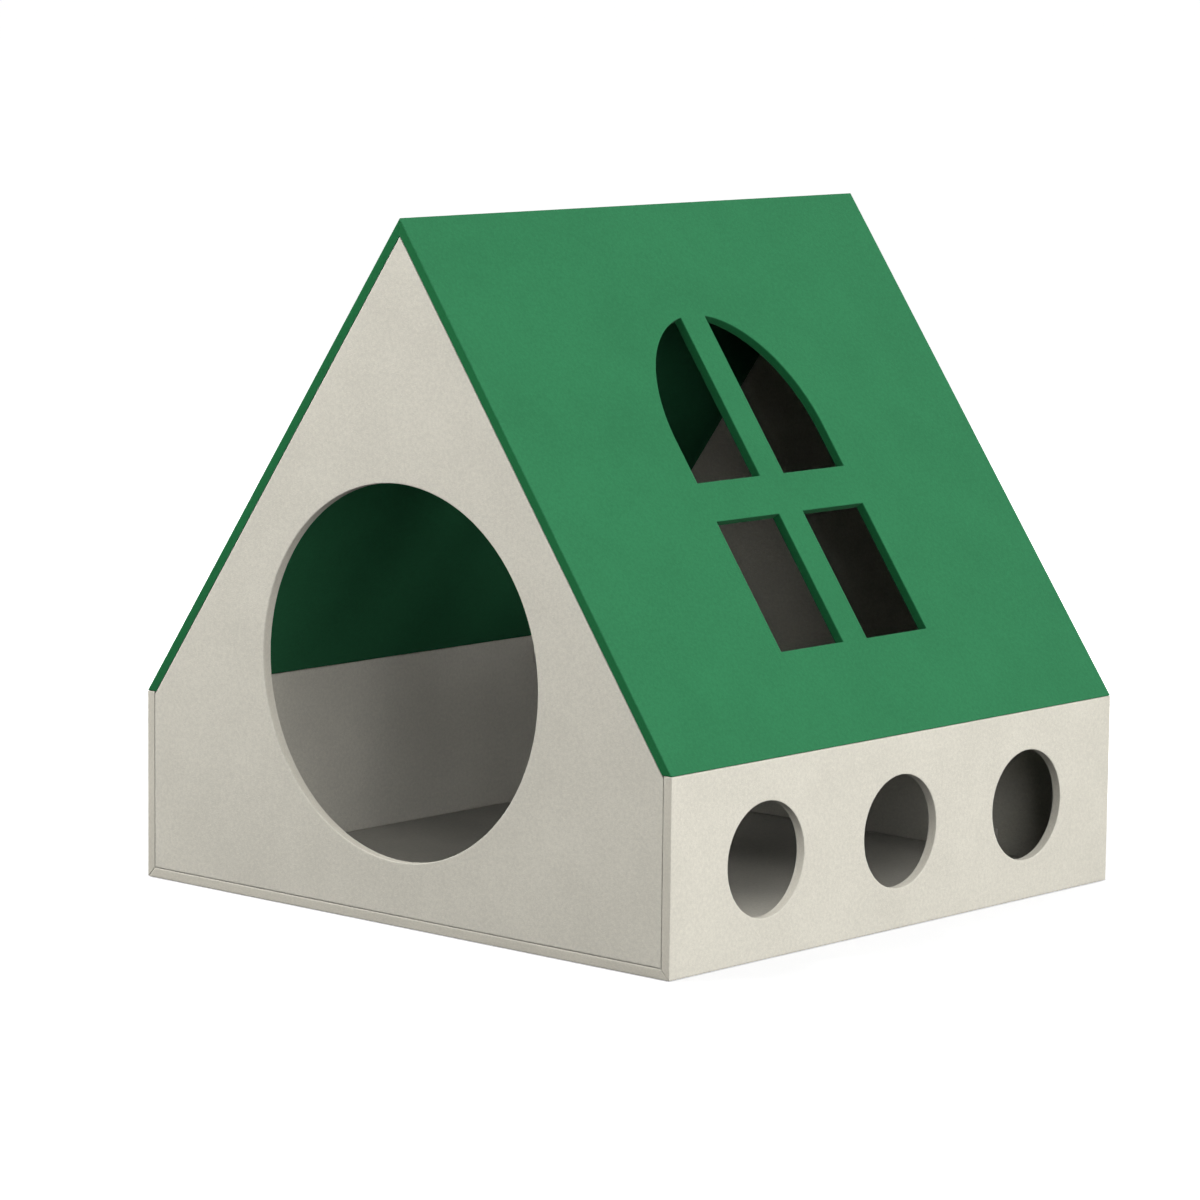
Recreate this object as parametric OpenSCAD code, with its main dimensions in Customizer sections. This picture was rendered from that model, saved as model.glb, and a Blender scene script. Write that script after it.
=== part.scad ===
// Felt cat house: seven boards of stiff felt, held together by folded hook tapes.
// Millimetres. +X is the right side, -Y is the front and +Z is up. The origin lies
// on the surface that the house stands on, under the middle of the house.

/* [House] */
// Width across the outer faces of the side walls
house_w = 390; // [340:5:440]
// Depth from the front face to the back face
house_d = 376; // [340:2:420]
// Height of the eaves, where the roof lies on the side walls
eave_h = 106; // [102:1:130]
// Height of the ridge
ridge_h = 380; // [365:5:410]

/* [Felt] */
// Thickness of the felt boards
felt_t = 5.5; // [4.5:0.5:7]
// Gap in a seam between two boards
seam_gap = 0.3; // [0.1:0.1:0.5]

/* [Door] */
// Diameter of the round door
door_d = 204; // [150:2:210]
// Height of the middle of the door
door_z = 137; // [130:1:145]

/* [Portholes] */
// Number of portholes in the right wall
porthole_count = 3; // [1:1:3]
// Diameter of a porthole
porthole_d = 62; // [40:2:62]
// Distance between the middles of two portholes
porthole_pitch = 112; // [80:2:116]
// Height of the middle of the portholes
porthole_z = 53; // [52:1:58]

/* [Roof window] */
// Distance down the slope from the ridge to the top of the arch
window_drop = 72; // [60:2:84]
// Rise of the arch over the upper panes
arch_rise = 76; // [60:2:86]
// Straight side of an upper pane, below the arch
upper_side = 26; // [16:2:34]
// Height of the bar between the upper and lower panes
transom_h = 24; // [16:1:30]
// Height of a lower pane
lower_pane_h = 80; // [60:2:88]
// Width of a pane
pane_w = 52; // [40:1:60]
// Width of the bar between the left and right panes
mullion_w = 20; // [12:1:28]

/* [Hook tapes] */
// Width of the tape before it is folded along its middle
tape_w = 30; // [20:2:34]
// Thickness of the tape
tape_t = 1.2; // [0.8:0.1:1.8]
// Length of one piece of tape
tape_len = 34; // [30:2:44]
// Space between a tape and the tapes of the next seam
tape_space = 9; // [6:1:12]
// Distance between the two tapes at the foot of the front and back panels
foot_tape_pitch = 210; // [120:5:240]

/* [Hidden] */
$fn = 96;
half_w = house_w / 2;
half_d = house_d / 2;
slope_deg = atan2(ridge_h - eave_h, half_w);
// The roof board's thickness measured level and upright
roof_level_t = felt_t / sin(slope_deg);
roof_upright_t = felt_t / cos(slope_deg);
inner_x = half_w - felt_t;
inner_y = half_d - felt_t;
// The seam gap of a mitre, measured level
mitre_gap = seam_gap * sqrt(2);
window_half_w = pane_w + mullion_w / 2;
// Places down the slope from the ridge
arch_spring = window_drop + arch_rise;
upper_sill = arch_spring + upper_side;
lower_head = upper_sill + transom_h;
lower_sill = lower_head + lower_pane_h;
arch_steps = 32;
tape_leg = tape_w / 2;
// Distance that a tape's end keeps from a corner where three boards meet
tape_inset = tape_leg + tape_space;
side_tape_y = inner_y - tape_inset - tape_len / 2;
// Distance down the slope at which the two gable tapes would meet under the ridge
gable_tapes_meet = tape_leg * tan(slope_deg);
// Length of the cutters that pass through one board
cut_l = 4 * felt_t;

felt_beige = "#DDD9CC";
felt_green = "#38845A";
tape_beige = "#E6E1D4";
tape_green = "#2F6E4B";

// Height under the roof board at a distance x from the middle, with a gap below the board
function under_roof(x, gap) = ridge_h - roof_upright_t - gap / cos(slope_deg) - x * tan(slope_deg);

// Distance down the slope, under the roof board, from below the ridge to the inner face of a side wall
under_slope_l = inner_x / cos(slope_deg);

// Draws the same piece on the left of the house
module on_left() { mirror([1, 0, 0]) children(); }

// Draws the same piece at the back of the house
module at_back() { mirror([0, 1, 0]) children(); }

// Stands a flat drawing upright across the house, x across and y up, from y_front towards the back
module upright(y_front, depth) {
    translate([0, y_front + depth, 0]) rotate([90, 0, 0]) linear_extrude(depth) children();
}

// Frame of the right slope: x runs down the slope from the ridge line, z out of the roof
module on_slope(ridge_z) { translate([0, 0, ridge_z]) rotate([0, slope_deg, 0]) children(); }

// Boards

// Mitred at both sides against the walls
module floor_panel() {
    outer_x = half_w - mitre_gap;
    top_x = inner_x - mitre_gap;
    color(felt_beige) upright(-half_d, house_d)
        polygon([[-outer_x, 0], [outer_x, 0], [top_x, felt_t], [-top_x, felt_t]]);
}

// Right wall without its portholes, mitred at its foot against the floor
module wall_board() {
    top_z = eave_h - seam_gap;
    upright(-half_d, house_d) polygon([[half_w, 0], [half_w, top_z], [inner_x, top_z], [inner_x, felt_t]]);
}

module left_wall() { color(felt_beige) on_left() wall_board(); }

module right_wall() {
    first_y = -porthole_pitch * (porthole_count - 1) / 2;
    color(felt_beige) difference() {
        wall_board();
        for (i = [0 : porthole_count - 1])
            translate([half_w - cut_l / 2, first_y + i * porthole_pitch, porthole_z])
                rotate([0, 90, 0]) cylinder(h = cut_l, d = porthole_d);
    }
}

// Five-sided end board that fits inside the floor, the walls and the roof
module gable_outline() {
    side_x = inner_x - seam_gap;
    foot_z = felt_t + seam_gap;
    shoulder_z = under_roof(side_x, seam_gap);
    polygon([
        [-side_x, foot_z], [side_x, foot_z], [side_x, shoulder_z],
        [0, under_roof(0, seam_gap)], [-side_x, shoulder_z],
    ]);
}

module front_panel() {
    color(felt_beige) difference() {
        upright(-half_d, felt_t) gable_outline();
        translate([0, -half_d + cut_l / 2, door_z]) rotate([90, 0, 0]) cylinder(h = cut_l, d = door_d);
    }
}

module back_panel() { color(felt_beige) upright(inner_y, felt_t) gable_outline(); }

// Right slope, mitred at the ridge and cut level where it lies on the wall
module roof_board() {
    upright(-half_d, house_d) polygon([
        [half_w, eave_h], [0, ridge_h], [0, ridge_h - roof_upright_t], [half_w - roof_level_t, eave_h],
    ]);
}

// Window opening on the slope, without its bars: an arch of half an ellipse over straight sides
module window_outline() {
    polygon([
        for (i = [0 : arch_steps])
            let (a = 180 * i / arch_steps)
            [arch_spring - arch_rise * sin(a), window_half_w * cos(a)],
        [lower_sill, -window_half_w],
        [lower_sill, window_half_w],
    ]);
}

// The bars that part the opening into four panes
module window_bars() {
    translate([0, -mullion_w / 2]) square([lower_sill, mullion_w]);
    translate([upper_sill, -window_half_w]) square([transom_h, 2 * window_half_w]);
}

module left_roof() { color(felt_green) on_left() roof_board(); }

module right_roof() {
    color(felt_green) difference() {
        roof_board();
        on_slope(ridge_h) translate([0, 0, -cut_l / 2]) linear_extrude(cut_l) difference() {
            window_outline();
            window_bars();
        }
    }
}

// Hook tapes

// Section of a folded tape whose legs lie on two faces that meet at the origin:
// one leg along x, the other turned by the angle between the faces
module tape_section(angle) {
    fold_x = tape_t / tan(angle / 2);
    turned_end = tape_leg * [cos(angle), sin(angle)];
    polygon([
        [0, 0], [tape_leg, 0], [tape_leg, tape_t], [fold_x, tape_t],
        turned_end + tape_t * [sin(angle), -cos(angle)], turned_end,
    ]);
}

// A tape along the y axis, its middle at y, with the section's axes along x and z
module tape_along_y(y, turn, angle) {
    upright(y - tape_len / 2, tape_len) rotate(turn) tape_section(angle);
}

// A tape along the x axis, its middle at x, with the section's axes along y and z
module tape_along_x(x, turn) {
    translate([x - tape_len / 2, 0, 0]) rotate([90, 0, 90])
        linear_extrude(tape_len) rotate(turn) tape_section(90);
}

// Between the floor and the right wall
module floor_side_tapes() {
    color(tape_beige) translate([inner_x, 0, felt_t])
        for (y = [-side_tape_y, side_tape_y]) tape_along_y(y, 90, 90);
}

// Between the right wall and the right slope, which lies on them
module eave_tapes() {
    color(tape_beige) translate([inner_x, 0, under_roof(inner_x, seam_gap)])
        for (y = [-side_tape_y, side_tape_y]) tape_along_y(y, 180 - slope_deg, 90 + slope_deg);
}

// Between the floor and the front panel
module foot_tapes() {
    color(tape_beige) translate([0, -inner_y, felt_t])
        for (side = [-1, 1]) tape_along_x(side * foot_tape_pitch / 2, 0);
}

// Between the right wall and the front panel
module corner_tape() {
    middle_z = (felt_t + eave_h) / 2;
    color(tape_beige) translate([inner_x, -inner_y, middle_z - tape_len / 2])
        linear_extrude(tape_len) rotate(90) tape_section(90);
}

// Between the front panel and the right slope, one near the ridge and one near the eave
module gable_tapes() {
    upper = gable_tapes_meet + tape_space + tape_len / 2;
    lower = under_slope_l - tape_inset - tape_len / 2;
    color(tape_beige) on_slope(under_roof(0, seam_gap)) translate([0, -inner_y, 0])
        for (x = [upper, lower]) tape_along_x(x, -90);
}

// Inside the ridge, between the two slopes
module ridge_tapes() {
    color(tape_green) translate([0, 0, under_roof(0, 0)])
        for (y = [-side_tape_y, 0, side_tape_y]) tape_along_y(y, 180 + slope_deg, 180 - 2 * slope_deg);
}

floor_panel();
left_wall();
right_wall();
front_panel();
back_panel();
left_roof();
right_roof();
on_left() floor_side_tapes();  // floor_left_tapes
floor_side_tapes();  // floor_right_tapes
on_left() eave_tapes();  // left_eave_tapes
eave_tapes();  // right_eave_tapes
foot_tapes();  // front_floor_tapes
at_back() foot_tapes();  // back_floor_tapes
on_left() corner_tape();  // front_left_tape
corner_tape();  // front_right_tape
at_back() on_left() corner_tape();  // back_left_tape
at_back() corner_tape();  // back_right_tape
on_left() gable_tapes();  // front_left_gable_tapes
gable_tapes();  // front_right_gable_tapes
at_back() on_left() gable_tapes();  // back_left_gable_tapes
at_back() gable_tapes();  // back_right_gable_tapes
ridge_tapes();
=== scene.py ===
# Felt cat house, dressed: boards of stiff needled felt, folded hook tapes inside the seams,
# a white floor and soft studio light. Metres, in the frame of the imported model: +X is the
# right side, -Y is the front and +Z is up.
import math
from collections import namedtuple

import bpy
import numpy as np
from mathutils import Matrix, Vector, noise
from mathutils.geometry import delaunay_2d_cdt
from mathutils.kdtree import KDTree


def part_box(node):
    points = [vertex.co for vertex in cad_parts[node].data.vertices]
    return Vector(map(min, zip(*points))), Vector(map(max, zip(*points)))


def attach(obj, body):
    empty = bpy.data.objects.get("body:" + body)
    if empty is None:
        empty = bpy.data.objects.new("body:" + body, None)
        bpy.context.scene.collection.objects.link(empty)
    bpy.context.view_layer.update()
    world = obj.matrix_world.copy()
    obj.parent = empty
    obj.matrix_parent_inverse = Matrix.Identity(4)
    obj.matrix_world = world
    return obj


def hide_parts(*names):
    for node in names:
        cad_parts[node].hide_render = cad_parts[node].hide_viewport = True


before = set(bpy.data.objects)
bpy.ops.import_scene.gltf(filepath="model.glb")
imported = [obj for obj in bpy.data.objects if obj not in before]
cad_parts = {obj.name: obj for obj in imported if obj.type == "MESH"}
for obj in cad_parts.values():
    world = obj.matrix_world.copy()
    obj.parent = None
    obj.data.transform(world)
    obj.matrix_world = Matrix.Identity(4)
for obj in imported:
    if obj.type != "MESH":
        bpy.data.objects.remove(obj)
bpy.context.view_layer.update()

MM = 0.001
X_AXIS = Vector((1, 0, 0))
Y_AXIS = Vector((0, 1, 0))
Z_AXIS = Vector((0, 0, 1))

# Sizes of the boards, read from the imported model
floor_low, floor_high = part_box("floor_panel")
wall_low, wall_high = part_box("right_wall")
gable_low, gable_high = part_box("front_panel")
roof_low, roof_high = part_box("right_roof")
FELT = floor_high.z - floor_low.z
HALF_DEPTH = floor_high.y
INNER_X = wall_low.x
INNER_Y = -gable_high.y
RIDGE_Z = roof_high.z
SLOPE = math.atan2(roof_high.z - roof_low.z, roof_high.x)
SLOPE_LENGTH = math.hypot(roof_high.z - roof_low.z, roof_high.x)
APEX_Z = gable_high.z

# Cut-outs of the boards
DOOR_D = 204 * MM
DOOR_Z = 137 * MM
PORTHOLE_D = 62 * MM
PORTHOLE_PITCH = 112 * MM
PORTHOLE_COUNT = 3
PORTHOLE_Z = 53 * MM
# Places on the roof, down the slope from the ridge
ARCH_TOP = 72 * MM
ARCH_SPRING = 148 * MM
UPPER_SILL = 174 * MM
LOWER_HEAD = 198 * MM
LOWER_SILL = 278 * MM
# Places on the roof, either side of the middle of the window
PANE_IN = 10 * MM
PANE_OUT = 62 * MM

# How far the rounding of an edge goes into the face, where it is cut square and where it is slanted
CUT_SOFT = 0.35 * MM
MITRE_SOFT = 0.2 * MM
# How far the rounding goes down the cut
CUT_ROUND = 0.35 * MM
# Depth of the fray of a cut, and its size
CUT_FRAY = 0.1 * MM
FRAY_SIZE = 1.6 * MM
# Depth of the slight swell of a face, its size, and how far from an edge it is whole
SWELL = 0.2 * MM
SWELL_SIZE = 55 * MM
SWELL_FADE = 25 * MM

# Fineness of the boards' meshes
ROUND_STEPS = 3
MIDDLE_STEPS = 5
EDGE_STEP = 4 * MM
DOOR_STEPS = 208
PORTHOLE_STEPS = 72
ARCH_STEPS = 40
FACE_GRID = 8 * MM
# Least distance of a face's grid from the loops round the face
GRID_CLEAR = 0.6 * FACE_GRID
# Length under which an edge gets no points between its ends
SHORT_EDGE = 3.2 * MM
# Least distance between the arch's last point and the upright bar of the window
ARCH_CLEAR = SHORT_EDGE / 4
# Distance of the points beside a corner, and of the ring on a face beside its edge
CORNER_SUPPORT = 0.5 * MM
FACE_SUPPORT = 0.8 * MM
# Sine of the turn under which two edges run straight on, and distance under which two points are one
NO_TURN = 1e-4
SAME_POINT = 1e-7

# Felt seen from its side is denser than seen from its face
LAYER_DENSITY = 2.5
# Each board has its own place in the felt's pattern, this far from the last board's
BOARD_OFFSET = 1.7
# Depth under a face at which the painted shade of a cut edge starts, and at which it is whole
CUT_SHADE_STARTS = 0.25 * MM
CUT_SHADE_FULL = 0.8 * MM


# Loops on a board

# A corner of a loop as it lies on the inner and on the outer face of the felt, with the softness
# of the edge that starts there. The felt is on the left of the loop's way round.
Corner = namedtuple("Corner", "inner outer soft")


def square_cut(points):
    """The corners of a loop that is cut square through the felt."""
    return [Corner(Vector(p), Vector(p), CUT_SOFT) for p in points]


def round_cut(middle_u, middle_v, diameter, steps):
    """A round cut-out."""
    turns = [-2 * math.pi * i / steps for i in range(steps)]
    radius = diameter / 2
    points = [(middle_u + radius * math.cos(a), middle_v + radius * math.sin(a)) for a in turns]
    return square_cut(points)


def window_cuts():
    """The four panes, with u across the window and v up the slope from the ridge line."""
    arch_rise = ARCH_SPRING - ARCH_TOP
    turns = [math.pi / 2 * i / ARCH_STEPS for i in range(ARCH_STEPS + 1)]
    arch = [(PANE_OUT * math.cos(a), arch_rise * math.sin(a) - ARCH_SPRING) for a in turns]
    arch_end = math.sqrt(1 - (PANE_IN / PANE_OUT) ** 2) * arch_rise - ARCH_SPRING
    upper = [p for p in arch if p[0] > PANE_IN + ARCH_CLEAR]
    upper += [(PANE_IN, arch_end), (PANE_IN, -UPPER_SILL), (PANE_OUT, -UPPER_SILL)]
    lower = [
        (PANE_OUT, -LOWER_HEAD),
        (PANE_IN, -LOWER_HEAD),
        (PANE_IN, -LOWER_SILL),
        (PANE_OUT, -LOWER_SILL),
    ]
    cuts = []
    for pane in (upper, lower):
        cuts.append(square_cut(reversed(pane)))
        cuts.append(square_cut([(-u, v) for u, v in pane]))
    return cuts


def facing_in(start, end):
    """The direction into the felt from an edge that has the felt on its left."""
    along = (end - start).normalized()
    return Vector((-along.y, along.x))


def shifts_in(points, amounts):
    """How each corner of a loop moves when each edge moves into the felt by its own amount."""
    shifts = []
    for i, here in enumerate(points):
        before = facing_in(points[i - 1], here)
        after = facing_in(here, points[(i + 1) % len(points)])
        turn = before.x * after.y - before.y * after.x
        if abs(turn) < NO_TURN:
            shifts.append(after * amounts[i])
            continue
        shift_u = (amounts[i - 1] * after.y - amounts[i] * before.y) / turn
        shift_v = (amounts[i] * before.x - amounts[i - 1] * after.x) / turn
        shifts.append(Vector((shift_u, shift_v)))
    return shifts


def shares_along(length):
    """Where an edge gets its points, as shares of its length, with one point beside each corner."""
    if length < SHORT_EDGE:
        return [0.0]
    beside = CORNER_SUPPORT / length
    count = max(1, round((length - 2 * CORNER_SUPPORT) / EDGE_STEP))
    return [0.0] + [beside + (1 - 2 * beside) * k / count for k in range(count + 1)]


def sampled(corners):
    """Points round a loop: inner place, outer place, shift of the soft edge, and shift of one metre."""
    outer = [c.outer for c in corners]
    soft = shifts_in(outer, [c.soft for c in corners])
    unit = shifts_in(outer, [1.0] * len(corners))
    points = []
    for i, corner in enumerate(corners):
        j = (i + 1) % len(corners)
        for share in shares_along((outer[j] - outer[i]).length):
            points.append((
                corner.inner.lerp(corners[j].inner, share),
                outer[i].lerp(outer[j], share),
                soft[i].lerp(soft[j], share),
                unit[i].lerp(unit[j], share),
            ))
    return points


# Meshes of the boards

def edge_rings():
    """Height over the inner face, and share of the softness, of each ring across a cut edge."""
    bends = [math.pi / 2 * k / ROUND_STEPS for k in range(ROUND_STEPS + 1)]
    outer = [(FELT - CUT_ROUND + CUT_ROUND * math.sin(a), 1 - math.cos(a)) for a in bends]
    inner = [(FELT - height, share) for height, share in reversed(outer)]
    plain = FELT - 2 * CUT_ROUND
    middle = [(CUT_ROUND + plain * k / MIDDLE_STEPS, 0.0) for k in range(1, MIDDLE_STEPS)]
    return inner + middle + outer


def on_felt(points, loops):
    """Which of the points lie inside the rim and outside the cut-outs."""
    u, v = points[:, 0], points[:, 1]
    found = np.zeros(len(points), bool)
    for loop in loops:
        for i in range(len(loop)):
            (u0, v0), (u1, v1) = loop[i - 1], loop[i]
            if v0 != v1:
                crosses = (v0 > v) != (v1 > v)
                found ^= crosses & (u < u0 + (v - v0) / (v1 - v0) * (u1 - u0))
    return found


def face_points(loops):
    """A staggered grid of points on a face, clear of its loops, each with its distance from them."""
    rim = [p for loop in loops for p in loop]
    tree = KDTree(len(rim))
    for i, p in enumerate(rim):
        tree.insert((p[0], p[1], 0), i)
    tree.balance()
    low_u, low_v = (min(p[k] for p in rim) for k in range(2))
    high_u, high_v = (max(p[k] for p in rim) for k in range(2))
    row_step = FACE_GRID * math.sqrt(3) / 2
    grid = []
    for row in range(int((high_v - low_v) / row_step) + 1):
        stagger = FACE_GRID / 2 * (row % 2)
        for column in range(int((high_u - low_u) / FACE_GRID) + 1):
            grid.append((low_u + stagger + column * FACE_GRID, low_v + row * row_step))
    kept = []
    for p, inside in zip(grid, on_felt(np.array(grid), loops)):
        distance = tree.find((p[0], p[1], 0))[2]
        if inside and distance > GRID_CLEAR:
            kept.append((p, distance))
    return kept


def face_triangles(loops, grid):
    """Triangles over a face, as places in the list of the loops' points and then the grid's points."""
    points = [Vector(p) for loop in loops for p in loop] + [Vector(p) for p in grid]
    edges = []
    first = 0
    for loop in loops:
        edges += [(first + i, first + (i + 1) % len(loop)) for i in range(len(loop))]
        first += len(loop)
    made = delaunay_2d_cdt(points, edges, [], 0, SAME_POINT)
    places, triangles, came_from = made[0], made[2], made[3]
    middles = np.array([[sum(places[i][k] for i in t) / 3 for k in range(2)] for t in triangles])
    kept = on_felt(middles, loops)
    return [[came_from[i][0] for i in t] for t, keep in zip(triangles, kept) if keep]


def board_mesh(rim, cuts, seed):
    """Vertices and faces of a board, with w from 0 on the inner face to the felt's thickness."""
    places, faces = [], []
    inner_loops, outer_loops = [], []
    for corners in (rim, *cuts):
        points = sampled(corners)
        rings = [[(inner + soft + unit * FACE_SUPPORT, 0.0) for inner, outer, soft, unit in points]]
        for height, share in edge_rings():
            ring = []
            for inner, outer, soft, unit in points:
                at = inner.lerp(outer, height / FELT) + soft * share
                fray = noise.noise(Vector((at.x, at.y, height + seed)) / FRAY_SIZE)
                ring.append((at + unit * CUT_FRAY * max(0.0, fray), height))
            rings.append(ring)
        rings.append([(outer + soft + unit * FACE_SUPPORT, FELT) for inner, outer, soft, unit in points])
        count = len(points)
        first = len(places)
        places += [Vector((at.x, at.y, height)) for ring in rings for at, height in ring]
        for k in range(len(rings) - 1):
            low, high = first + k * count, first + (k + 1) * count
            for i in range(count):
                j = (i + 1) % count
                faces.append((low + i, low + j, high + j, high + i))
        inner_loops.append(range(first, first + count))
        outer_loops.append(range(len(places) - count, len(places)))
    for loops, base, inward in ((inner_loops, 0.0, 1), (outer_loops, FELT, -1)):
        flat = [[tuple(places[i][:2]) for i in loop] for loop in loops]
        grid = face_points(flat)
        index = [i for loop in loops for i in loop]
        for (u, v), distance in grid:
            swell = (1 + noise.noise(Vector((u / SWELL_SIZE, v / SWELL_SIZE, seed + base / MM)))) / 2
            swell *= SWELL * min(1.0, distance / SWELL_FADE)
            index.append(len(places))
            places.append(Vector((u, v, base + inward * swell)))
        for triangle in face_triangles(flat, [p for p, distance in grid]):
            corners = [index[i] for i in triangle]
            faces.append(corners if inward < 0 else corners[::-1])
    return places, faces


def placed(u_axis, v_axis, w_axis, origin):
    """The matrix that takes a board's own u, v and w to the house."""
    matrix = Matrix((u_axis, v_axis, w_axis)).transposed().to_4x4()
    matrix.translation = origin
    return matrix


def new_piece(name, places, faces, material, body, node):
    """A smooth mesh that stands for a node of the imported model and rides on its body."""
    mesh = bpy.data.meshes.new(name)
    mesh.from_pydata(places, [], faces)
    mesh.materials.append(material)
    mesh.shade_smooth()
    piece = bpy.data.objects.new(name, mesh)
    bpy.context.scene.collection.objects.link(piece)
    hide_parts(node)
    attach(piece, body)
    return piece


def felt_board(node, matrix, rim, cuts, material, body, order):
    """One board of felt, with its own place in the felt's pattern."""
    seed = order * BOARD_OFFSET
    places, faces = board_mesh(rim, cuts, seed)
    piece = new_piece("felt_" + node, [matrix @ p for p in places], faces, material, body, node)
    felt_at = piece.data.attributes.new("felt_at", "FLOAT_VECTOR", "POINT")
    values = [c for p in places for c in (p.x + seed, p.y, p.z * LAYER_DENSITY)]
    felt_at.data.foreach_set("vector", values)


# Materials

# How noise is made: how rough it is, and its mean
NOISE_ROUGHNESS = 0.55
NOISE_MEAN = 0.5


class Graph:
    """The nodes of one material, or of the world, added and linked one by one."""

    def __init__(self, owner):
        self.owner = owner
        owner.use_nodes = True
        self.tree = owner.node_tree
        self.tree.nodes.clear()

    def node(self, kind, inputs=(), **settings):
        """A new node with its settings and its inputs."""
        made = self.tree.nodes.new(kind)
        for key, value in settings.items():
            setattr(made, key, value)
        for key, value in dict(inputs).items():
            self.feed(made.inputs[key], value)
        return made

    def feed(self, socket, value):
        """Links a socket to another node's socket, or sets it to a constant."""
        if isinstance(value, bpy.types.NodeSocket):
            self.tree.links.new(value, socket)
        else:
            socket.default_value = value

    def math(self, operation, *values):
        """One operation on values."""
        made = self.node("ShaderNodeMath", operation=operation)
        for socket, value in zip(made.inputs, values):
            self.feed(socket, value)
        return made.outputs[0]

    def noise(self, at, size, detail=2.0):
        """Noise whose features are about as large as the given size."""
        inputs = {"Vector": at, "Scale": 1 / size, "Detail": detail, "Roughness": NOISE_ROUGHNESS}
        return self.node("ShaderNodeTexNoise", inputs).outputs["Fac"]

    def swing(self, value, mean, share):
        """How far a value is from its mean, times a share."""
        return self.math("MULTIPLY", self.math("SUBTRACT", value, mean), share)

    def blend(self, first, first_share, second, second_share):
        """Two values added up by their shares."""
        return self.math(
            "ADD",
            self.math("MULTIPLY", first, first_share),
            self.math("MULTIPLY", second, second_share),
        )

    def ramp(self, value, low, high, to_low=0.0, to_high=1.0):
        """A smooth step from one level to another."""
        inputs = {"Value": value, "From Min": low, "From Max": high, "To Min": to_low, "To Max": to_high}
        return self.node("ShaderNodeMapRange", inputs, interpolation_type="SMOOTHSTEP").outputs["Result"]

    def shifted(self, at, offset):
        """A place moved by an offset."""
        inputs = {0: at, 1: offset}
        return self.node("ShaderNodeVectorMath", inputs, operation="ADD").outputs["Vector"]

    def mix(self, share, first, second):
        """A colour between two colours."""
        made = self.node("ShaderNodeMix", data_type="RGBA")
        self.feed(made.inputs["Factor"], share)
        self.feed(made.inputs["A"], first)
        self.feed(made.inputs["B"], second)
        return made.outputs["Result"]

    def finish(self, surface, kind="ShaderNodeOutputMaterial"):
        """Links the surface to the output, and gives back the material or the world."""
        output = self.node(kind)
        self.tree.links.new(surface, output.inputs["Surface"])
        return self.owner


def tinted(colour, by):
    """A colour made lighter or darker, as a node takes it."""
    return tuple(min(1.0, c * by) for c in colour) + (1.0,)


# Felt: fibres at two depths, by the size of their curls, the lines in noise's range and a line's width
Fibres = namedtuple("Fibres", "size lines width")
UPPER_FIBRES = Fibres(3.4 * MM, 6.0, 0.16)
UNDER_FIBRES = Fibres(2.4 * MM, 5.0, 0.2)
# A fibre runs half way between one whole level and the next
LINE_LEVEL = 0.5
# Where the lower fibres lie in the noise, away from the upper ones
UNDER_SHIFT = (3.1, 5.3, 0.7)
# What the upper and the lower fibres make of the web, and the web's mean
UPPER_SHARE = 0.6
UNDER_SHARE = 0.4
WEB_MEAN = 0.22
# The fine mottle and the large clouds of the ground
MOTTLE_SIZE = 2.0 * MM
CLOUD_SIZE = 38 * MM
# How much the web of fibres, the mottle and the clouds make of the felt's tone, and the tone's range
WEB_TONE = 0.55
MOTTLE_TONE = 1.6
CLOUD_TONE = 0.9
TONE_RANGE = 0.7
# How high the mottle is beside the web, and the height of both
MOTTLE_HEIGHT = 0.8
FELT_RELIEF = 0.12 * MM


def fibres(graph, at, kind):
    """Curling fibres: the level lines of noise, thin and bright."""
    grain = graph.noise(at, kind.size, detail=1.0)
    level = graph.math("FRACT", graph.math("MULTIPLY", grain, kind.lines))
    away = graph.math("ABSOLUTE", graph.math("SUBTRACT", level, LINE_LEVEL))
    return graph.ramp(away, 0.0, kind.width, 1.0, 0.0)


def cut_shade_share(graph, at):
    """0 on the faces of a board and 1 on its cut edges, which take the painted shade."""
    layer = graph.node("ShaderNodeSeparateXYZ", {0: at}).outputs["Z"]
    thickness = FELT * LAYER_DENSITY
    depth = graph.math("MINIMUM", layer, graph.math("SUBTRACT", thickness, layer))
    return graph.ramp(depth, CUT_SHADE_STARTS * LAYER_DENSITY, CUT_SHADE_FULL * LAYER_DENSITY)


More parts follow.
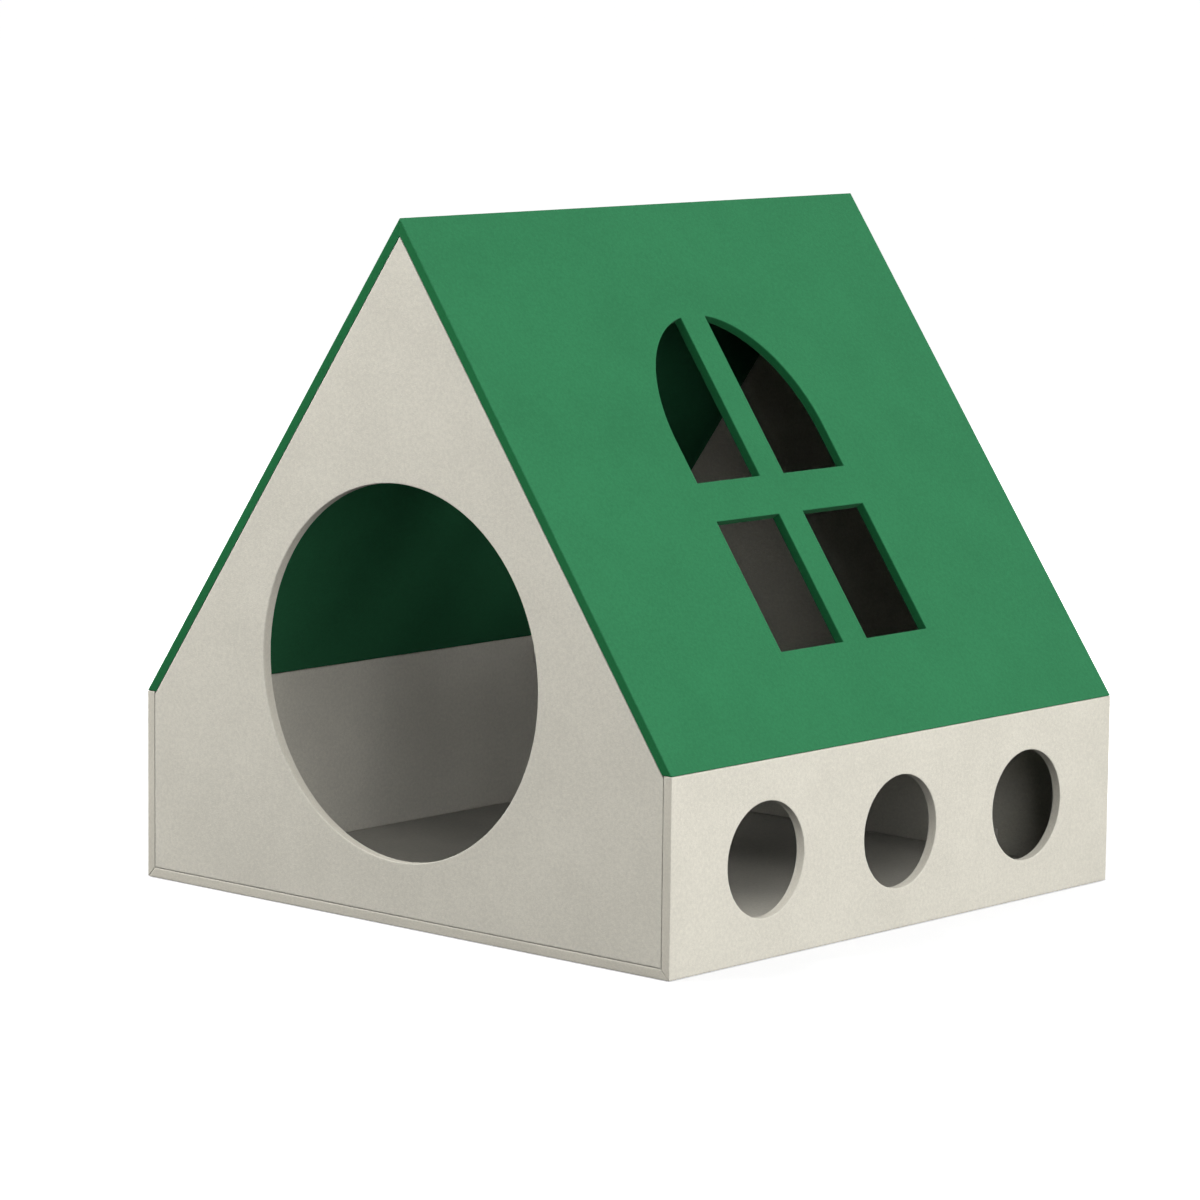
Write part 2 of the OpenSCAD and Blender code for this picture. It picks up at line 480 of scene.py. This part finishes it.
def felt_material(name, face_colour, cut_shade_colour, contrast):
    """Needled felt: curling fibres at two depths over a mottled, slightly clouded ground, with painted
    shade on the cut edges.
    """
    graph = Graph(bpy.data.materials.new(name))
    at = graph.node("ShaderNodeAttribute", attribute_name="felt_at").outputs["Vector"]
    upper = fibres(graph, at, UPPER_FIBRES)
    under = fibres(graph, graph.shifted(at, UNDER_SHIFT), UNDER_FIBRES)
    mottle = graph.noise(at, MOTTLE_SIZE, detail=3.0)
    cloud = graph.noise(at, CLOUD_SIZE)
    web = graph.blend(upper, UPPER_SHARE, under, UNDER_SHARE)
    tone = graph.swing(web, WEB_MEAN, WEB_TONE)
    tone = graph.math("ADD", tone, graph.swing(mottle, NOISE_MEAN, MOTTLE_TONE))
    tone = graph.math("ADD", tone, graph.swing(cloud, NOISE_MEAN, CLOUD_TONE))
    share = graph.ramp(tone, -TONE_RANGE, TONE_RANGE)
    face = graph.mix(share, tinted(face_colour, 1 - contrast), tinted(face_colour, 1 + contrast))
    cut = graph.mix(share, tinted(cut_shade_colour, 1 - contrast), tinted(cut_shade_colour, 1 + contrast))
    # The cut edges take the darker colour, which is painted shade
    shade = graph.mix(cut_shade_share(graph, at), face, cut)
    height = graph.math("ADD", web, graph.math("MULTIPLY", mottle, MOTTLE_HEIGHT))
    bump = graph.node("ShaderNodeBump", {"Height": height, "Strength": 0.5, "Distance": FELT_RELIEF})
    shader = graph.node("ShaderNodeBsdfPrincipled", {
        "Base Color": shade,
        "Normal": bump.outputs["Normal"],
        "Roughness": 0.95,
        "Specular IOR Level": 0.1,
        "Sheen Weight": 0.03,
        "Sheen Roughness": 0.5,
    })
    return graph.finish(shader.outputs["BSDF"])


# Linear colours of the felt: of its pressed faces, and of its cut edges, made darker there as painted
# shade
BEIGE = (0.745, 0.715, 0.622)
BEIGE_CUT_SHADE = (0.715, 0.680, 0.585)
GREEN = (0.031, 0.195, 0.081)
GREEN_CUT_SHADE = (0.011, 0.148, 0.046)
# How much lighter and darker than its colour the felt is in places
BEIGE_CONTRAST = 0.085
GREEN_CONTRAST = 0.10

beige_felt = felt_material("beige_felt", BEIGE, BEIGE_CUT_SHADE, BEIGE_CONTRAST)
green_felt = felt_material("green_felt", GREEN, GREEN_CUT_SHADE, GREEN_CONTRAST)


# Directions on the roof, where side is -1 on the left and 1 on the right

def up_slope(side):
    """Up the slope, towards the ridge."""
    return Vector((-side * math.cos(SLOPE), 0, math.sin(SLOPE)))


def out_of_roof(side):
    """Square out of the slope."""
    return Vector((side * math.sin(SLOPE), 0, math.cos(SLOPE)))


# The seven boards

def build_floor():
    """The floor with u along its depth and v across it: mitred at both sides."""
    matrix = placed(Y_AXIS, X_AXIS, -Z_AXIS, (0, 0, floor_high.z))
    outer_x = floor_high.x
    inner_x = outer_x - FELT
    rim = []
    for u, v, soft in ((-1, -1, MITRE_SOFT), (1, -1, CUT_SOFT), (1, 1, MITRE_SOFT), (-1, 1, CUT_SOFT)):
        inner = Vector((u * HALF_DEPTH, v * inner_x))
        outer = Vector((u * HALF_DEPTH, v * outer_x))
        rim.append(Corner(inner, outer, soft))
    felt_board("floor_panel", matrix, rim, [], beige_felt, "house", 1)


def wall_rim():
    """A side wall with u along it and v up: mitred at its foot."""
    top = wall_high.z
    return [
        Corner(Vector((-HALF_DEPTH, FELT)), Vector((-HALF_DEPTH, 0)), MITRE_SOFT),
        Corner(Vector((HALF_DEPTH, FELT)), Vector((HALF_DEPTH, 0)), CUT_SOFT),
        Corner(Vector((HALF_DEPTH, top)), Vector((HALF_DEPTH, top)), CUT_SOFT),
        Corner(Vector((-HALF_DEPTH, top)), Vector((-HALF_DEPTH, top)), CUT_SOFT),
    ]


def build_walls():
    """The side walls, with the portholes in the right one."""
    left = placed(-Y_AXIS, Z_AXIS, -X_AXIS, (-INNER_X, 0, 0))
    felt_board("left_wall", left, wall_rim(), [], beige_felt, "house", 2)
    right = placed(Y_AXIS, Z_AXIS, X_AXIS, (INNER_X, 0, 0))
    middle = (PORTHOLE_COUNT - 1) / 2
    portholes = [
        round_cut((i - middle) * PORTHOLE_PITCH, PORTHOLE_Z, PORTHOLE_D, PORTHOLE_STEPS)
        for i in range(PORTHOLE_COUNT)
    ]
    felt_board("right_wall", right, wall_rim(), portholes, beige_felt, "house", 3)


def build_gables():
    """The front and back panels with u across them and v up: cut square, with the door in the front."""
    side, foot = gable_high.x, gable_low.z
    shoulder = APEX_Z - side * math.tan(SLOPE)
    rim = square_cut([(-side, foot), (side, foot), (side, shoulder), (0, APEX_Z), (-side, shoulder)])
    front = placed(X_AXIS, Z_AXIS, -Y_AXIS, (0, -INNER_Y, 0))
    door = round_cut(0, DOOR_Z, DOOR_D, DOOR_STEPS)
    felt_board("front_panel", front, rim, [door], beige_felt, "house", 4)
    back = placed(-X_AXIS, Z_AXIS, Y_AXIS, (0, INNER_Y, 0))
    felt_board("back_panel", back, rim, [], beige_felt, "house", 5)


def build_roof():
    """The slopes with u along the ridge and v up to it: mitred at the ridge, cut level at the eave."""
    ridge_in = FELT * math.tan(SLOPE)
    eave_in = SLOPE_LENGTH - FELT / math.tan(SLOPE)
    rim = [
        Corner(Vector((-HALF_DEPTH, -eave_in)), Vector((-HALF_DEPTH, -SLOPE_LENGTH)), MITRE_SOFT),
        Corner(Vector((HALF_DEPTH, -eave_in)), Vector((HALF_DEPTH, -SLOPE_LENGTH)), CUT_SOFT),
        Corner(Vector((HALF_DEPTH, -ridge_in)), Vector((HALF_DEPTH, 0)), MITRE_SOFT),
        Corner(Vector((-HALF_DEPTH, -ridge_in)), Vector((-HALF_DEPTH, 0)), CUT_SOFT),
    ]
    for node, side, cuts, order in (("left_roof", -1, [], 6), ("right_roof", 1, window_cuts(), 7)):
        outward = out_of_roof(side)
        origin = Vector((0, 0, RIDGE_Z)) - outward * FELT
        matrix = placed(side * Y_AXIS, up_slope(side), outward, origin)
        felt_board(node, matrix, rim, cuts, green_felt, "roof", order)


build_floor()
build_walls()
build_gables()
build_roof()


# Hook tapes: woven strips, folded along their middle

corner_low, corner_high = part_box("front_right_tape")
TAPE_LEG = corner_high.x - corner_low.x
TAPE_LENGTH = corner_high.z - corner_low.z
TAPE_THICK = 1.2 * MM
# Radius of the fold on the side that lies on the felt, and the steps round it
FOLD_RADIUS = 1.7 * MM
FOLD_STEPS = 6
# Smooth margin along a tape's edges, and step across the rest of a leg
SELVEDGE = 1.6 * MM
LEG_STEP = 1.5 * MM
# Ribs across a tape
RIB_PITCH = 1.0 * MM
RIB_DEPTH = 0.14 * MM
# Distances from a tape's edge at which its margin has points, and width of the edge's rounding
EDGE_POINTS = [0.0, 0.08 * MM, 0.25 * MM, 0.6 * MM, 1.1 * MM]
EDGE_ROUND = 0.6 * MM
# Distance from a tape's sealed end, and share of the thickness that is left there
SEALED_END = [(0.0, 0.5), (0.12 * MM, 0.8), (0.35 * MM, 0.95)]
HOOK_PITCH = 1.6 * MM
# Height, lean and half width of a hook, from its root inside the tape to its tip
HOOK_SHAPE = [
    (-0.10 * MM, 0.0, 0.16 * MM),
    (0.12 * MM, 0.02 * MM, 0.13 * MM),
    (0.24 * MM, 0.12 * MM, 0.10 * MM),
    (0.24 * MM, 0.26 * MM, 0.08 * MM),
    (0.14 * MM, 0.34 * MM, 0.05 * MM),
]
# Corners of a hook's square section
HOOK_CORNERS = [(1, 1), (-1, 1), (-1, -1), (1, -1)]

# One tape: the middle of its fold line, the directions of its two legs and of its length, and
# whether the first leg has hooks on it
Tape = namedtuple("Tape", "fold first second along hooked")
# A point across a tape: place on the side that lies on the felt, direction away from the felt,
# distance from the tape's nearer edge and distance from its first edge
Station = namedtuple("Station", "place inward from_edge across")


def leg_distances(plain):
    """Distances from the edge of a leg to the start of its fold."""
    count = math.ceil((plain - SELVEDGE) / LEG_STEP)
    return EDGE_POINTS + [SELVEDGE + (plain - SELVEDGE) * k / count for k in range(count + 1)]


def fold_start(tape):
    """Distance from the fold line at which a leg starts to bend."""
    return FOLD_RADIUS / math.tan(tape.first.angle(tape.second) / 2)


def stations(tape):
    """Points across a tape, from the edge of its first leg round the fold to that of its second."""
    first, second = tape.first, tape.second
    angle = first.angle(second)
    from_first = (second - first * math.cos(angle)).normalized()
    from_second = (first - second * math.cos(angle)).normalized()
    centre = tape.fold + first * fold_start(tape) + from_first * FOLD_RADIUS
    plain = TAPE_LEG - fold_start(tape)
    bend = FOLD_RADIUS * (math.pi - angle)
    found = [
        Station(tape.fold + first * (TAPE_LEG - d), from_first, d, d) for d in leg_distances(plain)
    ]
    for k in range(1, FOLD_STEPS):
        turn = (math.pi - angle) * k / FOLD_STEPS
        outward = -from_first * math.cos(turn) - first * math.sin(turn)
        across = plain + bend * k / FOLD_STEPS
        found.append(Station(centre + outward * FOLD_RADIUS, -outward, plain, across))
    whole = 2 * plain + bend
    found += [
        Station(tape.fold + second * (TAPE_LEG - d), from_second, d, whole - d)
        for d in reversed(leg_distances(plain))
    ]
    return found


def lengths_and_fullness():
    """Places along a tape at half the pitch of its ribs, with its fullness there."""
    half = TAPE_LENGTH / 2
    count = round((TAPE_LENGTH - 2 * RIB_PITCH) / (RIB_PITCH / 2))
    plain = [(-half + RIB_PITCH + RIB_PITCH / 2 * k, 1.0) for k in range(count + 1)]
    start = [(-half + d, fullness) for d, fullness in SEALED_END]
    end = [(half - d, fullness) for d, fullness in reversed(SEALED_END)]
    return start + plain + end


def section(across, shift, fullness, rib):
    """One ring of a tape: along the felt from edge to edge, and back along the other side."""
    near, far = [], []
    for s in across:
        share = min(1.0, s.from_edge / EDGE_ROUND)
        half = TAPE_THICK / 2 * fullness * math.sqrt(1 - (1 - share) ** 2)
        middle = s.place + shift + s.inward * (TAPE_THICK / 2)
        groove = rib if s.from_edge > SELVEDGE else 0.0
        near.append(middle - s.inward * half)
        far.append(middle + s.inward * (half - groove))
    return near + far[-2:0:-1]


def tape_mesh(tape, places, faces, pattern):
    """Adds one folded tape to a mesh, with its pattern's coordinates."""
    across = stations(tape)
    count = len(across)
    ring = 2 * count - 2
    first = len(places)
    rows = lengths_and_fullness()
    for k, (length, fullness) in enumerate(rows):
        rib = RIB_DEPTH * (k % 2) if fullness == 1 else 0.0
        places += section(across, tape.along * length, fullness, rib)
        pattern += [(s.across, length, 0.0) for s in across]
        pattern += [(s.across, length, 1.0) for s in across[-2:0:-1]]
    reverse = tape.first.cross(tape.along).dot(across[0].inward) < 0
    made = []
    for k in range(len(rows) - 1):
        low, high = first + k * ring, first + (k + 1) * ring
        for i in range(ring):
            j = (i + 1) % ring
            made.append((low + i, low + j, high + j, high + i))
    for base, at_start in ((first, True), (first + (len(rows) - 1) * ring, False)):
        for i in range(count - 1):
            cap = [base + i, base + i + 1, base + (ring - i - 1) % ring, base + (ring - i) % ring]
            cap = list(dict.fromkeys(cap))
            made.append(cap[::-1] if at_start else cap)
    faces += [face[::-1] for face in made] if reverse else made


def hook_mesh(tape, places, faces, pattern):
    """Adds rows of small hooks to the side of a tape's first leg that lies on the felt."""
    outward = -stations(tape)[0].inward
    reverse = tape.first.cross(tape.along).dot(outward) < 0
    plain = TAPE_LEG - fold_start(tape)
    columns = int((plain - 2 * SELVEDGE) / HOOK_PITCH) + 1
    rows = int((TAPE_LENGTH - 2 * SELVEDGE) / HOOK_PITCH) + 1
    corners = len(HOOK_CORNERS)
    for row in range(rows):
        lean_way = 1 if row % 2 else -1
        length = (row - (rows - 1) / 2) * HOOK_PITCH
        for column in range(columns):
            edge = SELVEDGE + column * HOOK_PITCH
            root = tape.fold + tape.first * (TAPE_LEG - edge) + tape.along * length
            first = len(places)
            for height, lean, half in HOOK_SHAPE:
                middle = root + outward * height + tape.along * (lean * lean_way)
                for side, way in HOOK_CORNERS:
                    places.append(middle + tape.first * (half * side) + tape.along * (half * way))
                    pattern.append((edge, length, 0.0))
            made = [(first, *range(first + corners - 1, first, -1))]
            for k in range(len(HOOK_SHAPE) - 1):
                low, high = first + corners * k, first + corners * (k + 1)
                for i in range(corners):
                    j = (i + 1) % corners
                    made.append((low + i, low + j, high + j, high + i))
            made.append(tuple(range(len(places) - corners, len(places))))
            faces += [face[::-1] for face in made] if reverse else made


# The weave of a tape: its yarns and its fuzz
YARN_PITCH = 0.8 * MM
FUZZ_SIZE = 0.7 * MM
# How much the weave makes of a tape's tone, how much painted shade and light the ribs put on it, darker
# in their valleys and lighter on their tops, and the tone's range
WEAVE_TONE = 0.25
RIB_SHADE = 0.2
TAPE_TONE_RANGE = 0.8
# A tape's darkest and lightest shades, as shares of its colour
TAPE_DARK = 0.8
TAPE_LIGHT = 1.12
# How high the weave is beside the fuzz, and the height of both
WEAVE_HEIGHT = 0.5
TAPE_RELIEF = 0.1 * MM


def tape_material(name, colour):
    """Woven nylon: ribs across the tape, crossed by finer yarns, with painted shade in the valleys
    between the ribs.
    """
    graph = Graph(bpy.data.materials.new(name))
    at = graph.node("ShaderNodeAttribute", attribute_name="tape_at").outputs["Vector"]
    split = graph.node("ShaderNodeSeparateXYZ", {0: at})
    full_turn = 2 * math.pi
    rib = graph.math("COSINE", graph.math("MULTIPLY", split.outputs["Y"], full_turn / RIB_PITCH))
    yarn = graph.math("SINE", graph.math("MULTIPLY", split.outputs["X"], full_turn / YARN_PITCH))
    weave = graph.math("MULTIPLY", rib, yarn)
    fuzz = graph.noise(at, FUZZ_SIZE)
    # The ribs add painted shade in their valleys and painted light on their tops
    tone = graph.blend(weave, WEAVE_TONE, rib, RIB_SHADE)
    tone = graph.math("ADD", tone, graph.math("SUBTRACT", fuzz, NOISE_MEAN))
    share = graph.ramp(tone, -TAPE_TONE_RANGE, TAPE_TONE_RANGE)
    shade = graph.mix(share, tinted(colour, TAPE_DARK), tinted(colour, TAPE_LIGHT))
    height = graph.math("ADD", graph.math("MULTIPLY", weave, WEAVE_HEIGHT), fuzz)
    bump = graph.node("ShaderNodeBump", {"Height": height, "Strength": 0.6, "Distance": TAPE_RELIEF})
    shader = graph.node("ShaderNodeBsdfPrincipled", {
        "Base Color": shade,
        "Normal": bump.outputs["Normal"],
        "Roughness": 0.62,
        "Specular IOR Level": 0.35,
        "Sheen Weight": 0.1,
        "Sheen Roughness": 0.4,
    })
    return graph.finish(shader.outputs["BSDF"])


# Linear colours of the tapes
TAPE_BEIGE = (0.78, 0.74, 0.66)
TAPE_GREEN = (0.035, 0.180, 0.080)

beige_tape = tape_material("beige_tape", TAPE_BEIGE)
green_tape = tape_material("green_tape", TAPE_GREEN)


def tape_group(node, tapes, material, body):
    """The tapes of one seam, as one piece."""
    places, faces, pattern = [], [], []
    for tape in tapes:
        tape_mesh(tape, places, faces, pattern)
        if tape.hooked:
            hook_mesh(tape, places, faces, pattern)
    piece = new_piece("woven_" + node, places, faces, material, body, node)
    tape_at = piece.data.attributes.new("tape_at", "FLOAT_VECTOR", "POINT")
    tape_at.data.foreach_set("vector", [c for p in pattern for c in p])


def end_places(node, axis):
    """The middles of the two tapes at the ends of a row along an axis."""
    low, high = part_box(node)
    return [low.dot(axis) + TAPE_LENGTH / 2, high.dot(axis) - TAPE_LENGTH / 2]


def build_side_tapes(side, word):
    """The tapes along one side wall: at the floor and at the eave."""
    inner = -side * X_AXIS
    eave_z = APEX_Z - INNER_X * math.tan(SLOPE)
    node = f"floor_{word}_tapes"
    floor_tapes = [
        Tape(Vector((side * INNER_X, y, FELT)), Z_AXIS, inner, Y_AXIS, False)
        for y in end_places(node, Y_AXIS)
    ]
    tape_group(node, floor_tapes, beige_tape, "house")
    node = f"{word}_eave_tapes"
    eave_tapes = [
        Tape(Vector((side * INNER_X, y, eave_z)), up_slope(side), -Z_AXIS, Y_AXIS, True)
        for y in end_places(node, Y_AXIS)
    ]
    tape_group(node, eave_tapes, beige_tape, "house")


def build_end_tapes(end, word):
    """The tapes at the foot of the front or the back panel."""
    node = f"{word}_floor_tapes"
    inner = -end * Y_AXIS
    tapes = [
        Tape(Vector((x, end * INNER_Y, FELT)), inner, Z_AXIS, X_AXIS, False)
        for x in end_places(node, X_AXIS)
    ]
    tape_group(node, tapes, beige_tape, "house")


def build_corner_tapes(side, side_word, end, end_word):
    """The tapes at one corner: the upright one by the wall, and two along the slope of the gable."""
    inner_x, inner_y = -side * X_AXIS, -end * Y_AXIS
    node = f"{end_word}_{side_word}_tape"
    low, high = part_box(node)
    fold = Vector((side * INNER_X, end * INNER_Y, (low.z + high.z) / 2))
    upright = Tape(fold, inner_y, inner_x, Z_AXIS, False)
    tape_group(node, [upright], beige_tape, "house")
    node = f"{end_word}_{side_word}_gable_tapes"
    low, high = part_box(node)
    down_slope = -up_slope(side)
    from_roof = -out_of_roof(side)
    apex = Vector((0, end * INNER_Y, APEX_Z))
    upper = (APEX_Z - high.z) / math.sin(SLOPE) + TAPE_LENGTH / 2
    lower = max(abs(low.x), abs(high.x)) / math.cos(SLOPE) - TAPE_LENGTH / 2
    tapes = [Tape(apex + down_slope * d, inner_y, from_roof, down_slope, True) for d in (upper, lower)]
    tape_group(node, tapes, beige_tape, "house")


def build_ridge_tapes():
    """The three tapes under the ridge, which ride on the roof."""
    under_ridge = RIDGE_Z - FELT / math.cos(SLOPE)
    down_left, down_right = -up_slope(-1), -up_slope(1)
    front, back = end_places("ridge_tapes", Y_AXIS)
    tapes = [
        Tape(Vector((0, y, under_ridge)), down_left, down_right, Y_AXIS, False) for y in (front, 0, back)
    ]
    tape_group("ridge_tapes", tapes, green_tape, "roof")


SIDES = ((-1, "left"), (1, "right"))
ENDS = ((-1, "front"), (1, "back"))

for side, side_word in SIDES:
    build_side_tapes(side, side_word)
for end, end_word in ENDS:
    build_end_tapes(end, end_word)
    for side, side_word in SIDES:
        build_corner_tapes(side, side_word, end, end_word)
build_ridge_tapes()


# Camera, as the photograph was taken

CAMERA_AT = Vector((1.80387, -2.03748, 0.54102))
CAMERA_AZIMUTH = math.radians(41.8956)
CAMERA_ELEVATION = math.radians(8.0031)
CAMERA_ROLL = math.radians(0.6404)
# Focal length and width of the photograph, in its pixels
FOCAL_PIXELS = 4900
PHOTO_PIXELS = 1200


def build_camera():
    """A camera that looks at the house from the photograph's place, with its slight roll."""
    level = math.cos(CAMERA_ELEVATION)
    back = Vector((
        math.sin(CAMERA_AZIMUTH) * level,
        -math.cos(CAMERA_AZIMUTH) * level,
        math.sin(CAMERA_ELEVATION),
    ))
    right = (-back).cross(Z_AXIS).normalized()
    up = back.cross(right)
    rolled_right = right * math.cos(CAMERA_ROLL) + up * math.sin(CAMERA_ROLL)
    rolled_up = back.cross(rolled_right)
    data = bpy.data.cameras.new("camera")
    data.sensor_fit = "HORIZONTAL"
    data.lens = FOCAL_PIXELS / PHOTO_PIXELS * data.sensor_width
    camera = bpy.data.objects.new("camera", data)
    camera.matrix_world = placed(rolled_right, rolled_up, back, CAMERA_AT)
    bpy.context.scene.collection.objects.link(camera)
    bpy.context.scene.camera = camera


# Studio: a white floor and soft light

# The point that the lamps face
HOUSE_MIDDLE = Vector((0, 0, 0.17))
# Strength of the light from all round
WORLD_LEVEL = 0.004
FLOOR_RADIUS = 30.0
FLOOR_STEPS = 96
FLOOR_GAP = 0.4 * MM
FLOOR_COLOUR = (0.82, 0.82, 0.82, 1)
WHITE = (1, 1, 1, 1)
# The floor's own white: its level near the house, and the distances between which it rises to 1
GLOW_NEAR = 0.45
GLOW_STARTS = 0.35
GLOW_FULL = 1.1
# Diffuse depth under which no face has scattered a ray
UNSCATTERED_DEPTH = 0.5


def seen_directly(graph):
    """1 for the camera's rays and for what a mirror or glass would show, 0 for the light on things."""
    path = graph.node("ShaderNodeLightPath")
    mirrored = graph.math("MAXIMUM", path.outputs["Is Glossy Ray"], path.outputs["Is Transmission Ray"])
    seen = graph.math("MAXIMUM", path.outputs["Is Camera Ray"], mirrored)
    unscattered = graph.math("LESS_THAN", path.outputs["Diffuse Depth"], UNSCATTERED_DEPTH)
    return graph.math("MULTIPLY", seen, unscattered)


def floor_material():
    """White all round, and near the house pale enough under the light to keep its shadow."""
    graph = Graph(bpy.data.materials.new("studio_floor"))
    lit = graph.node("ShaderNodeBsdfDiffuse", {"Color": FLOOR_COLOUR}).outputs["BSDF"]
    place = graph.node("ShaderNodeNewGeometry").outputs["Position"]
    distance = graph.node("ShaderNodeVectorMath", {0: place}, operation="LENGTH").outputs["Value"]
    level = graph.ramp(distance, GLOW_STARTS, GLOW_FULL, GLOW_NEAR, 1.0)
    strength = graph.math("MULTIPLY", level, seen_directly(graph))
    glow = graph.node("ShaderNodeEmission", {"Color": WHITE, "Strength": strength}).outputs["Emission"]
    both = graph.node("ShaderNodeAddShader", {0: lit, 1: glow}).outputs["Shader"]
    return graph.finish(both)


def build_studio_floor():
    """A wide round floor, just under the house."""
    turns = [2 * math.pi * i / FLOOR_STEPS for i in range(FLOOR_STEPS)]
    rim = [(FLOOR_RADIUS * math.cos(a), FLOOR_RADIUS * math.sin(a), -FLOOR_GAP) for a in turns]
    mesh = bpy.data.meshes.new("studio_floor")
    mesh.from_pydata(rim, [], [range(FLOOR_STEPS)])
    mesh.materials.append(floor_material())
    stage = bpy.data.objects.new("studio_floor", mesh)
    bpy.context.scene.collection.objects.link(stage)


def build_world():
    """White where it is seen, and hardly any light on the house."""
    world = bpy.data.worlds.new("studio")
    bpy.context.scene.world = world
    graph = Graph(world)
    light = graph.node("ShaderNodeBackground", {"Color": WHITE, "Strength": WORLD_LEVEL})
    white = graph.node("ShaderNodeBackground", {"Color": WHITE, "Strength": 1.0})
    both = graph.node("ShaderNodeMixShader", {
        0: seen_directly(graph),
        1: light.outputs["Background"],
        2: white.outputs["Background"],
    })
    graph.finish(both.outputs["Shader"], "ShaderNodeOutputWorld")


# A square soft light: its place round the house in degrees, with azimuth 0 in front and 90 at the
# right, its distance and size in metres, its power in watts, and how often its light may bounce.
# Most light is direct only, which keeps the inside of the house dark.
Lamp = namedtuple("Lamp", "name azimuth elevation distance size watts bounces")
LAMPS = [
    Lamp("key_light", 69, 19, 3.0, 2.2, 62.0, 0),
    Lamp("high_light", 110, 41, 3.0, 2.2, 26.0, 0),
    Lamp("rear_light", 120, 30, 3.0, 2.0, 24.0, 1),
    Lamp("fill_light", -57, 25, 2.3, 1.3, 46.0, 0),
    Lamp("gable_light", -30, 45, 1.1, 0.7, 3.3, 0),
    Lamp("door_light", 10, 10, 2.0, 0.8, 0.4, 0),
    Lamp("back_light", 185, 21, 2.3, 1.4, 18.0, 0),
]


def build_light(lamp):
    """A lamp that faces the house, without multiple importance sampling: scattered rays miss it."""
    turn, rise = math.radians(lamp.azimuth), math.radians(lamp.elevation)
    level = math.cos(rise)
    way = Vector((math.sin(turn) * level, -math.cos(turn) * level, math.sin(rise)))
    data = bpy.data.lights.new(lamp.name, "AREA")
    data.size = lamp.size
    data.energy = lamp.watts
    data.cycles.max_bounces = lamp.bounces
    data.cycles.use_multiple_importance_sampling = False
    light = bpy.data.objects.new(lamp.name, data)
    light.location = HOUSE_MIDDLE + way * lamp.distance
    light.rotation_euler = way.to_track_quat("Z", "Y").to_euler()
    bpy.context.scene.collection.objects.link(light)


build_camera()
build_studio_floor()
build_world()
for lamp in LAMPS:
    build_light(lamp)

bpy.context.scene.view_settings.view_transform = "Standard"
